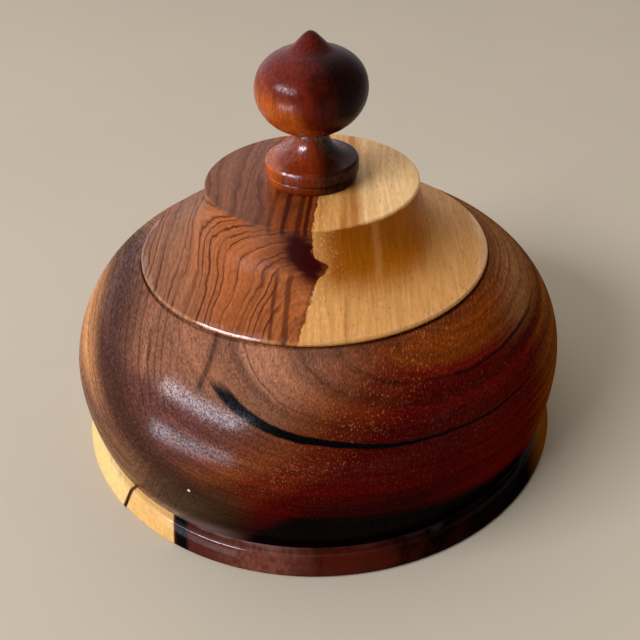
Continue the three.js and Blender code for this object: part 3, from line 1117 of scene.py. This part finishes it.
    # The hollow, sanded and only oiled.
    hollow = hollow_share(nodes, shape)
    inner = nodes.shade(woods.hollow, fine, 0.3, 0.7, 0.8, 1.2)
    inner = nodes.shade(inner, broad, 0.32, 0.68, 0.75, 1.15)
    tone = tone.lay(inner, hollow * 0.8)

    glossy = nodes.between(x.span(-36, -14), 1.0, z.span(37, 25, 1.0, 0.16))
    low_shine = z.span(11.5, 8) * x.span(-46, -38) * x.span(-14, -24) * 1.6
    glossy = nodes.math("MAXIMUM", glossy, low_shine)
    return nodes.finish(
        tone,
        pores,
        relief=0.22 * MM,
        specular=0.0,
        coat_roughness=0.17,
        gloss_low=0.3,
        gloss_high=0.42,
        coat_share=glossy * x.span(6, 46, 0.38, 0.05) * hollow.span(0, 1, 1, 0.2),
        dimples=0.5,
        print=0.8,
    )


def lid_wood(woods):
    """The lid: brown heartwood with wavy dark lines, and golden sapwood past a sharp border."""
    nodes = Wood(
        "lid_wood", long_sway=0.8, short_sway=0.4, long_size=11, short_size=2.5, back_drift=(-3, 0, 2)
    )
    x, y, z = nodes.split(nodes.spot)

    rings = z.hump(52, 3.0) * 0.09 + nodes.oval(centre=(-1, 0, 45), reach=(19.5, 1, 17))
    fine = nodes.bands(rings, spacing=0.03, drift=0.8, seed=5)
    broad = nodes.bands(rings, spacing=0.16, drift=0.8, seed=8)
    line = nodes.lines(rings, spacing=0.066, wobble=1.1, thickness=0.5, share=0.85, seed=2)
    pores = nodes.pores(share=0.3)

    # The border between heartwood and sapwood.
    border = z.hump(56.6, 1.6) * 3.0 + nodes.between(z.span(47, 54), -4.2, -0.2)
    border = border + y.span(-24, -6, 0.0, 2.0)
    ragged = nodes.noise(nodes.vector("MULTIPLY", nodes.steady, (1.0, 0.3, 1.0)), 0.9, 3.0, 0.7)
    past = x - ((ragged - 0.5) * 2.0 + border)

    # Heartwood with its lines, the two dark stripes on the flange and the burgundy patch.
    on_top = z.span(63.7, 64.5)
    tone = nodes.mix(x.span(-16, -34), woods.lid_heart, woods.lid_shade)
    # Painted shade: the flat top darkened to a greyer brown.
    tone = tone.lay(woods.lid_top_shade, on_top * x.span(-3, -11))
    tone = tone.lay(woods.lid_warm, on_top * x.span(-12, -6))
    tone = nodes.shade(tone, broad, 0.32, 0.68, 0.72, 1.2)
    tone = nodes.shade(tone, fine, 0.3, 0.7, 0.78, 1.16)
    tone = nodes.shade(tone, pores["Mottle"], 0.3, 0.7, 0.84, 1.16)
    clear = nodes.math("MAXIMUM", x.span(-6, -9), z.span(55, 58))
    tone = tone.lay(woods.lid_line, line * z.span(63.8, 64.4, 0.95, 0.55) * clear)
    leaning = z * -0.3 + (x + 14.4)
    for at, half_width in ((-9.8, 0.45), (-6.9, 0.75)):
        stripe = nodes.use(ink_line, growth=leaning, at=at, half_width=half_width, stain_width=0.9)
        both = stripe["Stain"] * 0.35 + stripe["Core"]
        tone = tone.lay(woods.lid_line, both * z.span(57, 54) * y.span(0, -10) * 0.55)
    knot = nodes.hypot((z * 0.4 + x - 21.6) / 3.6, (z - 58.9) / 4.8)
    knot = (broad - 0.5) * 1.2 + knot + y.span(-8, 4, 0, 8)
    tone = tone.lay(woods.lid_line, knot.span(3.6, 1.2) * z.span(54, 58) * 0.45)
    tone = tone.lay(woods.lid_line, knot.span(1.7, 0.9) * 0.5)
    tone = tone.lay(woods.lid_knot, knot.span(1.2, 0.7))
    trail_at = y * -0.11 + x
    for at, strength in ((-3.6, 0.8), (-0.7, 0.7), (0.9, 0.85), (-6.4, 0.4)):
        trail = abs(trail_at - at).span(0.75, 0.3) * z.span(62, 64) * strength
        tone = tone.lay(woods.lid_knot, trail)
    tone = tone.lay(woods.lid_line, past.span(-0.7, -0.1) * 0.55)

    # Sapwood, with bands that run straight back, painted shade on its steep flank and painted light on
    # its right side.
    plain = nodes.join(x, y * 0.05, z * 0.1)
    soft = nodes.noise(plain, 0.3, 1.5) - x.span(12, 20, 0.0, 0.3)
    thin = nodes.noise(plain, 1.5, 2.0, 0.6)
    far_right = x.span(27, 21, 0.35, 1.0)
    under_top = z.span(64.5, 63.9)
    # Painted shade: the steep flank of the sapwood, turned away from the light, darkened.
    flank = z.span(50, 56) * under_top * x.span(-3, 6) * far_right
    darker = nodes.math("MAXIMUM", flank, soft.span(0.42, 0.68, 0.0, 0.7))
    blond = nodes.mix(darker, woods.lid_sap, woods.lid_sap_dark_and_shade)
    # Painted light: the sapwood's right side lightened to amber, where the lamps leave it dim.
    lit_side = under_top * x.span(4, 20, 0.0, 0.85) * z.span(49.5, 55, 0.05, 1.0) * far_right
    blond = blond.lay(woods.lid_lit_amber, lit_side)
    blond = blond.lay(woods.lid_sap_pale, on_top * x.span(9, 12))
    blond = nodes.shade(blond, thin, 0.3, 0.7, 0.86, 1.07)
    blond = nodes.shade(blond, pores["Mottle"], 0.3, 0.7, 0.93, 1.06)
    stripe = abs(x - 8.8).span(1.1, 0.3)
    blond = blond.lay(woods.lid_sap_dark_and_shade, stripe * z.span(58, 64.3) * 0.6)
    light = abs(x - 13.2).span(1.3, 0.2)
    blond = blond.lay(woods.lid_sap, light * z.span(52, 55) * 0.35)
    # Painted glints: pale specks in the sapwood just past the border.
    painted_glints = pores["Fleck"] * past.span(7, 1) * z.span(48, 51) * 0.5
    blond = blond.lay(woods.lid_sap_pale, painted_glints)
    tone = tone.lay(blond, past.span(-0.15, 0.25))
    tone = tone.lay(woods.lid_line, pores["Pore"] * 0.3)

    # The rim's upper edge, a little over the flange's underside, is rubbed pale, and the pale line is
    # also a painted highlight along the rim.
    rim_edge = {"edge_radius": RIM_RADIUS / MM, "edge_height": SPIGOT_END / MM + 5}
    wear_and_sheen = nodes.use(edge_wear, steady=nodes.steady, **rim_edge, reach=0.9)["Wear"]
    tone = tone.lay(woods.lid_sap, wear_and_sheen * 0.4)
    return nodes.finish(
        tone,
        pores,
        relief=0.06 * MM,
        specular=0.06,
        coat_roughness=0.14,
        gloss_low=0.32,
        gloss_high=0.45,
        coat_share=z.span(48.45, 48.3, 0.0, 0.9),
    )


def crack_side(shape):
    """The level direction across the crack."""
    turned = shape.crack_azimuth
    return (-math.sin(turned), math.cos(turned), 0.0)


def foot_wood(woods, shape):
    """The foot: almost black heartwood with a sharp-edged patch of blond sapwood at the left."""
    nodes = Wood(
        "foot_wood", long_sway=0.5, short_sway=0.3, long_size=14, short_size=3, back_drift=(7, 0, 0)
    )
    x, y, z = nodes.split(nodes.spot)
    flat = nodes.join(x, y * 0.06, z * 0.9)
    soft = nodes.noise(flat, 0.22, 2.5, 0.6)
    thin = nodes.noise(flat, 1.3, 2.0, 0.6)
    pores = nodes.pores(share=0.25)

    heart = nodes.mix(x.span(-18, 4), woods.foot_heart, woods.foot_red)
    heart = heart.lay(woods.night, x.span(4, 24))
    heart = heart.lay(woods.foot_red, soft.span(0.3, 0.66) * x.span(44, 4) * 0.7)
    heart = heart.lay(woods.night, soft.span(0.56, 0.3) * thin.span(0.35, 0.65, 0.2, 0.9))
    heart = heart.lay(woods.ochre, x.span(48, 56))
    # Paler streaks in the heartwood at the front left, and partly a painted reflection on the wall.
    paler = x.span(-28, -14) * x.span(0, -12) * thin.span(0.25, 0.7, 0.15, 0.8)
    heart = heart.lay(woods.foot_streak_and_sheen, paler)
    heart = heart.lay(woods.ink, abs(x + 31.4).span(2.0, 1.0))
    # Painted reflection: a lilac-grey sheen on the ledge under the bowl.
    heart = heart.lay(woods.painted_corner_sheen, z.span(4.5, 4.9) * x.span(-2, -20, 0.1, 0.6))
    blond = nodes.mix(x.span(-47.5, -43.5), woods.foot_sap, woods.foot_sap_warm)
    blond = nodes.shade(blond, thin, 0.3, 0.7, 0.88, 1.05)
    tone = heart.lay(blond, x.span(-33.1, -33.5))
    tone = tone.lay(woods.lid_line, pores["Pore"] * 0.25)
    beside = abs(nodes.dot(nodes.steady, crack_side(shape)))
    stained = beside.span(0.75, 0.35) * x.span(-20, -30) * z.span(-1, 0)
    tone = tone.lay(woods.foot_crack, stained * 0.85)
    return nodes.finish(
        tone,
        pores,
        relief=0.04 * MM,
        specular=0.0,
        coat_roughness=0.1,
        gloss_low=0.25,
        gloss_high=0.35,
        coat_share=x.span(-6, 26, 0.36, 0.1) * (1.0 - stained) * z.span(3.7, 4.2, 0.3, 2.6),
    )


def knob_wood(woods):
    """The knob: red wood with the grain upright, polished to the highest gloss on the pot."""
    upright = (1.0, 1.0, 0.16)
    nodes = Wood(
        "knob_wood", long_sway=1.0, short_sway=0.25, long_size=9, short_size=2, fibre=upright
    )
    x, y, z = nodes.split(nodes.spot)
    drawn = nodes.join(x, y, z * 0.14)
    soft = nodes.noise(drawn, 0.24, 2.5, 0.6)
    thin = nodes.noise(drawn, 1.2, 2.5, 0.6)
    pores = nodes.pores(fibre=upright, share=0.25, size=0.4)
    # Painted light: an orange glow low at the left, where light bounces up from the lid.
    across = soft * 8.0 + (x - 4.0)
    lower_left = (z - 80.5) * 0.9 + across
    outward = nodes.math("MAXIMUM", z.span(73, 80, 0.2, 1.0), x.span(-5, -9))
    orange = lower_left.span(3, -4) * z.span(90, 83, 0.2, 1.0) * outward
    tone = nodes.mix(orange, woods.knob_red, woods.knob_glow)
    # Painted shade: dark at the upper right, at the neck's right and on the flange's top at the right.
    upper_right = (z - 84.0) * 0.3 + across
    shadowed = upper_right.span(-1, 7) * z.span(96, 92, 0.5, 1.0)
    shadowed = nodes.math("MAXIMUM", shadowed, x.span(-1, 4) * z.span(80, 77) * 0.9)
    tone = tone.lay(woods.knob_dark, shadowed)
    tone = nodes.shade(tone, thin, 0.3, 0.7, 1.2, 0.72)
    tone = tone.lay(woods.knob_dark, pores["Pore"] * 0.35)
    dish = z.span(69.8, 70.3) * z.span(73, 72)
    polished = z.span(78, 75) * x.span(0, 8, 1.0, 0.12) * nodes.between(dish, 1.0, 0.6)
    return nodes.finish(
        tone,
        pores,
        relief=0.05 * MM,
        specular=0.05,
        coat_roughness=0.2,
        gloss_low=0.25,
        gloss_high=0.35,
        coat_share=nodes.math("MAXIMUM", x.span(-6, 8, 0.36, 0.054), polished),
        dimples=0.8,
        print=0.25,
    )


def floor_material(stage):
    """The plain pale floor."""
    material = new_material("floor")
    nodes = Nodes(material.node_tree)
    spot = nodes.add("ShaderNodeTexCoord").outputs["Object"]
    tone = nodes.shade(stage.floor_colour, nodes.noise(spot, 9.0, 4.0, 0.6), 0.3, 0.7, 0.97, 1.0)
    shader = nodes.add("ShaderNodeBsdfPrincipled")
    shader.inputs["Specular IOR Level"].default_value = 0.0
    surface = nodes.fill(shader, base_color=tone, roughness=0.9)
    nodes.feed(nodes.add("ShaderNodeOutputMaterial").inputs["Surface"], surface)
    return material


class PotOperator:
    """What the operators share."""

    bl_options = {"REGISTER", "UNDO"}


class POT_OT_foot(PotOperator, Operator):
    """Turn the foot and open its drying crack"""

    bl_idname = "pot.foot"
    bl_label = "Turn Foot"

    def execute(self, context):
        shape = context.scene.pot_shape
        material = foot_wood(context.scene.pot_woods, shape)
        foot = turn(
            "turned_foot",
            foot_outline(shape),
            shape.large_turns,
            material,
            seam_angle=shape.crack_azimuth,
            seam_width=shape.crack_width / FOOT_RADIUS / 4,
            step=shape.crack_step,
            step_fade=0.5,
            step_inside=shape.recess_radius,
        )
        crack_open(foot, shape)
        seat_piece(foot, "pot", "foot_ring")
        return {"FINISHED"}


class POT_OT_bowl(PotOperator, Operator):
    """Turn the hollow bowl"""

    bl_idname = "pot.bowl"
    bl_label = "Turn Bowl"

    def execute(self, context):
        shape = context.scene.pot_shape
        material = bowl_wood(context.scene.pot_woods, shape)
        bowl = turn(
            "turned_bowl",
            bowl_outline(shape),
            shape.large_turns,
            material,
            lean=shape.lean,
            lean_height=shape.lean_height,
            lean_spread=shape.lean_spread,
        )
        seat_piece(bowl, "pot", "pot_bowl")
        return {"FINISHED"}


class POT_OT_lid(PotOperator, Operator):
    """Turn the lid with its spigot"""

    bl_idname = "pot.lid"
    bl_label = "Turn Lid"

    def execute(self, context):
        shape = context.scene.pot_shape
        material = lid_wood(context.scene.pot_woods)
        lid = turn("turned_lid", lid_outline(shape), shape.large_turns, material)
        seat_piece(lid, "lid", "lid")
        return {"FINISHED"}


class POT_OT_knob(PotOperator, Operator):
    """Turn the onion knob with its tenon"""

    bl_idname = "pot.knob"
    bl_label = "Turn Knob"

    def execute(self, context):
        shape = context.scene.pot_shape
        material = knob_wood(context.scene.pot_woods)
        knob = turn(
            "turned_knob",
            knob_outline(shape),
            shape.knob_turns,
            material,
            lean=shape.knob_lean,
            lean_height=KNOB_TIP,
            lean_spread=shape.knob_lean_spread,
        )
        seat_piece(knob, "lid", "knob")
        return {"FINISHED"}


def add_lamp(
    name, heading, elevation, distance, width, height, radiance, tint, diffuse=True, mirrored=True
):
    """A soft rectangular lamp, seen from the pot at a heading and an elevation in degrees."""
    lamp = bpy.data.lights.new(name, "AREA")
    lamp.shape = "RECTANGLE"
    lamp.size = width
    lamp.size_y = height
    lamp.energy = radiance * math.pi * width * height
    lamp.color = tint
    turned = math.radians(heading)
    raised = math.radians(elevation)
    level = math.cos(raised)
    away = Vector((level * math.cos(turned), level * math.sin(turned), math.sin(raised)))
    aim = Vector((0.0, 0.0, 0.045))
    facing = away.to_track_quat("Z", "Y").to_matrix().to_4x4()
    holder = bpy.data.objects.new(name, lamp)
    holder.matrix_world = Matrix.Translation(aim + away * distance) @ facing
    holder.visible_diffuse = diffuse
    holder.visible_glossy = mirrored
    bpy.context.scene.collection.objects.link(holder)


class POT_OT_stage(PotOperator, Operator):
    """Set the floor, the light and the camera"""

    bl_idname = "pot.stage"
    bl_label = "Set Stage"

    def execute(self, context):
        stage = context.scene.pot_stage
        add_floor(stage)
        add_light(stage)
        add_camera(stage)
        return {"FINISHED"}


def add_floor(stage):
    """A plain square floor at the height of the foot."""
    half = 3.0
    mesh = bpy.data.meshes.new("floor")
    corners = [(-half, -half, 0), (half, -half, 0), (half, half, 0), (-half, half, 0)]
    mesh.from_pydata(corners, [], [(0, 1, 2, 3)])
    floor = bpy.data.objects.new("floor", mesh)
    mesh.materials.append(floor_material(stage))
    bpy.context.scene.collection.objects.link(floor)


def add_light(stage):
    """A room that is brighter at the back left, a wide window and a bright patch low at the left."""
    world = bpy.data.worlds.new("room")
    world.use_nodes = True
    nodes = Nodes(world.node_tree)
    direction = nodes.add("ShaderNodeTexCoord").outputs["Generated"]
    toward_back = nodes.dot(direction, (-0.70, 0.60, 0.38))
    toward_right = nodes.dot(direction, (0.98, 0.1, -0.15))
    tone = nodes.mix(toward_right.span(0.25, 0.85), stage.room_dark, stage.room_side)
    tone = tone.lay(stage.room_bright, toward_back.span(-0.3, 0.75))
    background = world.node_tree.nodes["Background"]
    nodes.feed(background.inputs["Color"], tone)
    nodes.feed(background.inputs["Strength"], stage.room_strength)
    bpy.context.scene.world = world
    window = {
        "distance": 1.3,
        "width": 0.9,
        "height": 0.26,
        "radiance": stage.window_radiance,
        "tint": (0.84, 0.86, 1.0),
    }
    add_lamp("window", heading=-149, elevation=34.5, mirrored=False, **window)
    add_lamp("window_mirrored", heading=-147, elevation=26, diffuse=False, **window)
    add_lamp(
        "low_patch",
        heading=-138,
        elevation=-7.5,
        distance=0.2,
        width=0.12,
        height=0.034,
        radiance=stage.patch_radiance,
        tint=(0.74, 0.84, 1.0),
        diffuse=False,
    )


def add_camera(stage):
    """The camera in front of the pot, above it and a little rolled."""
    lens = bpy.data.cameras.new("camera")
    lens.sensor_width = 36.0
    lens.lens = stage.lens
    lens.clip_start = 0.01
    camera = bpy.data.objects.new("camera", lens)
    heading, pitch, roll = stage.camera_heading, stage.camera_pitch, stage.camera_roll
    forward = Vector(
        (math.sin(heading) * math.cos(pitch), math.cos(heading) * math.cos(pitch), -math.sin(pitch))
    )
    level = Vector((math.cos(heading), -math.sin(heading), 0.0))
    upright = level.cross(forward)
    right = math.cos(roll) * level + math.sin(roll) * upright
    up = -math.sin(roll) * level + math.cos(roll) * upright
    turned = Matrix((right, up, -forward)).transposed().to_4x4()
    place = Vector((0.0, -stage.camera_distance, stage.camera_height))
    camera.matrix_world = Matrix.Translation(place) @ turned
    bpy.context.scene.collection.objects.link(camera)
    bpy.context.scene.camera = camera
    bpy.context.scene.view_settings.view_transform = "Standard"


class POT_PT_panel(Panel):
    """The pot's pieces and settings in the sidebar"""

    bl_label = "Lidded Wooden Pot"
    bl_space_type = "VIEW_3D"
    bl_region_type = "UI"
    bl_category = "Wooden Pot"

    def draw(self, context):
        for operator in STEPS:
            self.layout.operator(operator.bl_idname)
        for settings in (context.scene.pot_shape, context.scene.pot_woods, context.scene.pot_stage):
            box = self.layout.box()
            for name in settings.__annotations__:
                box.prop(settings, name)


STEPS = (POT_OT_stage, POT_OT_foot, POT_OT_bowl, POT_OT_lid, POT_OT_knob)
CLASSES = (PotShape, PotWoods, PotStage, *STEPS, POT_PT_panel)


def register():
    for cls in CLASSES:
        bpy.utils.register_class(cls)
    bpy.types.Scene.pot_shape = PointerProperty(type=PotShape)
    bpy.types.Scene.pot_woods = PointerProperty(type=PotWoods)
    bpy.types.Scene.pot_stage = PointerProperty(type=PotStage)


def unregister():
    del bpy.types.Scene.pot_stage
    del bpy.types.Scene.pot_woods
    del bpy.types.Scene.pot_shape
    for cls in reversed(CLASSES):
        bpy.utils.unregister_class(cls)


def corners(box):
    return [list(corner) for corner in box]


def main():
    register()
    bpy.ops.pot.stage()
    bpy.ops.pot.foot()
    bpy.ops.pot.bowl()
    bpy.ops.pot.lid()
    bpy.ops.pot.knob()


if __name__ == "__main__":
    main()
